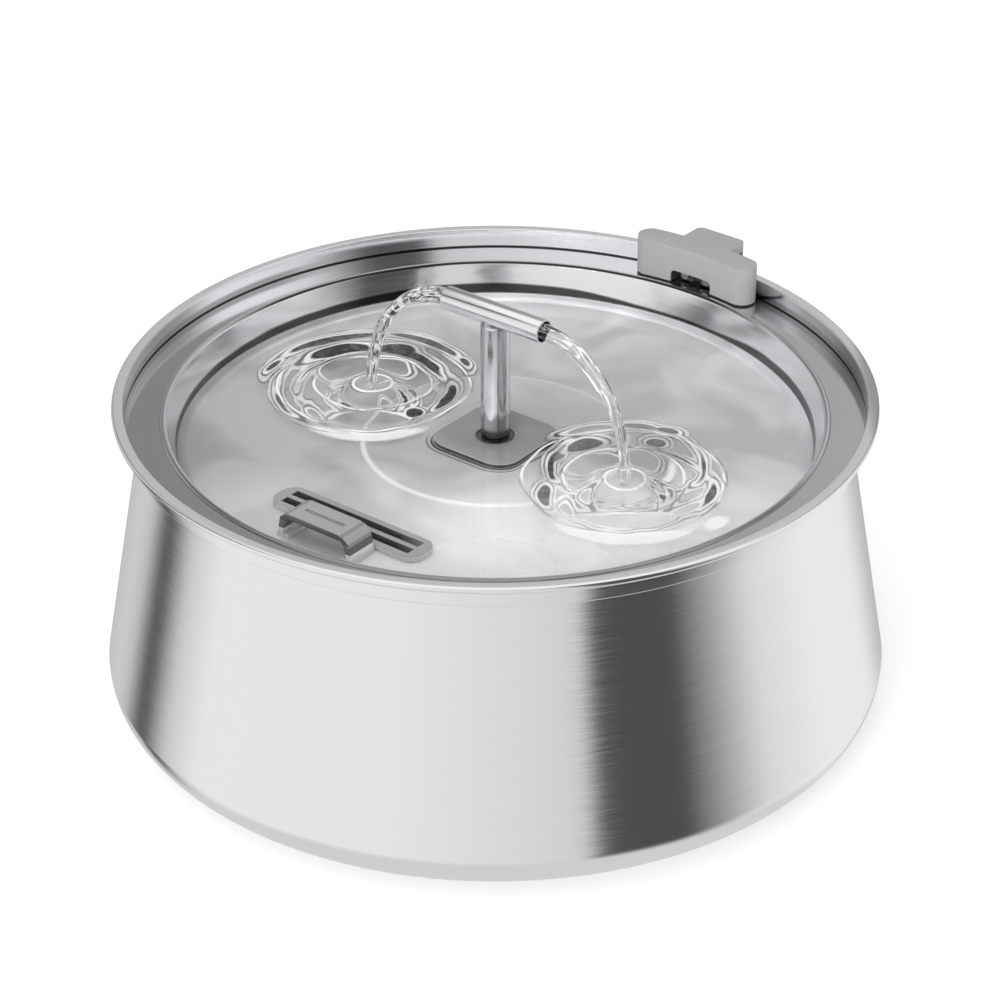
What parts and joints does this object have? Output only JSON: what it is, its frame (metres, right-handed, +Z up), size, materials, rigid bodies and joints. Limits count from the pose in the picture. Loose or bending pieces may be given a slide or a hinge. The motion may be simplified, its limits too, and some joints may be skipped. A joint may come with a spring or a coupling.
{
  "type": "pet water fountain",
  "caption": "Waisted steel bowl with a lift-out drinking tray, a T-shaped double spout, a drain grille and handle, a pump in a filter box below, and a cord clip on the rim.",
  "frame": {"origin": "centre of the bowl, on the floor under the foot ring", "axes": "+Z up along the spout's riser, +Y towards the cord clip, X along the spout's crossbar"},
  "size_m": [0.33, 0.33, 0.1767],
  "materials": {
    "bowl_steel": "fine circumferential brushing, satin",
    "tray_steel": "polished, lightly brushed",
    "spout_steel": "polished",
    "fastener_steel": "satin",
    "clip_plastic": "fine matte moulding",
    "grille_plastic": "fine matte moulding",
    "handle_plastic": "satin moulding",
    "pad_silicone": "smooth silicone",
    "black_rubber": "matte",
    "grey_rubber": "matte",
    "white_plastic": "semi-translucent moulding",
    "dark_plastic": "fine matte moulding",
    "foam": "open-cell foam",
    "fleece": "needle felt",
    "filter_media": "non-woven bag with granules",
    "rotor": "sintered",
    "core_steel": "laminated",
    "copper": "enamelled wire",
    "board": "lacquered circuit board",
    "ceramic": "ground ceramic",
    "water": "clear water"
  },
  "bodies": {
    "bowl": {"bowl": "bowl_steel", "foot_ring": "black_rubber", "filter_box": "white_plastic", "pump_housing": "dark_plastic", "pump_cover": "dark_plastic", "cover_seal": "black_rubber", "cover_screws": "fastener_steel", "pump_rear_cap": "dark_plastic", "pump_gland": "black_rubber", "stator_core": "core_steel", "stator_coil": "copper", "driver_board": "board", "impeller_shaft": "ceramic", "shaft_bush_front": "black_rubber", "shaft_bush_rear": "black_rubber", "suction_cup_1": "grey_rubber", "suction_cup_2": "grey_rubber", "suction_cup_3": "grey_rubber", "suction_cup_4": "grey_rubber", "pre_filter_foam": "foam", "riser_pipe": "white_plastic"},
    "impeller": {"impeller": "white_plastic", "rotor_magnet": "rotor"},
    "flow_dial": {"flow_dial": "dark_plastic"},
    "filter_lid": {"filter_lid": "white_plastic", "filter_cartridge": "filter_media", "filter_fleece": "fleece"},
    "tray": {"tray": "tray_steel", "tray_handle": "handle_plastic", "handle_screws": "fastener_steel", "spout_pad": "pad_silicone", "flange_grommet": "black_rubber"},
    "drain_grille": {"drain_grille": "grille_plastic"},
    "spout_coupler": {"spout_coupler": "dark_plastic", "coupler_seals": "black_rubber"},
    "spout": {"spout_riser": "spout_steel", "spout_crossbar": "spout_steel"},
    "cord_clip": {"cord_clip": "clip_plastic", "clip_sole": "black_rubber", "cord_clamp": "dark_plastic", "clamp_screws": "fastener_steel"}
  },
  "joints": [
    {"name": "tray_lift", "type": "slide", "parent": "bowl", "child": "tray", "axis": [0, 0, 1], "range_m": [0, 0.05]},
    {"name": "clip_lift", "type": "slide", "parent": "tray", "child": "cord_clip", "axis": [0, 0, 1], "range_m": [0, 0.02]},
    {"name": "grille_lift", "type": "slide", "parent": "tray", "child": "drain_grille", "axis": [0, 0, 1], "range_m": [0, 0.012]},
    {"name": "spout_swivel", "type": "hinge", "parent": "tray", "child": "spout_coupler", "pos_m": [0, 0, 0.1091], "axis": [0, 0, 1], "continuous": true},
    {"name": "spout_pull", "type": "slide", "parent": "spout_coupler", "child": "spout", "axis": [0, 0, 1], "range_m": [0, 0.02]},
    {"name": "lid_lift", "type": "slide", "parent": "bowl", "child": "filter_lid", "axis": [0, 0, 1], "range_m": [0, 0.024]},
    {"name": "dial_turn", "type": "hinge", "parent": "bowl", "child": "flow_dial", "pos_m": [0, -0.0143, 0.0275], "axis": [0, -1, 0], "range_deg": [0, 60]},
    {"name": "impeller_spin", "type": "hinge", "parent": "bowl", "child": "impeller", "pos_m": [0, 0, 0.0275], "axis": [0, 1, 0], "continuous": true}
  ]
}
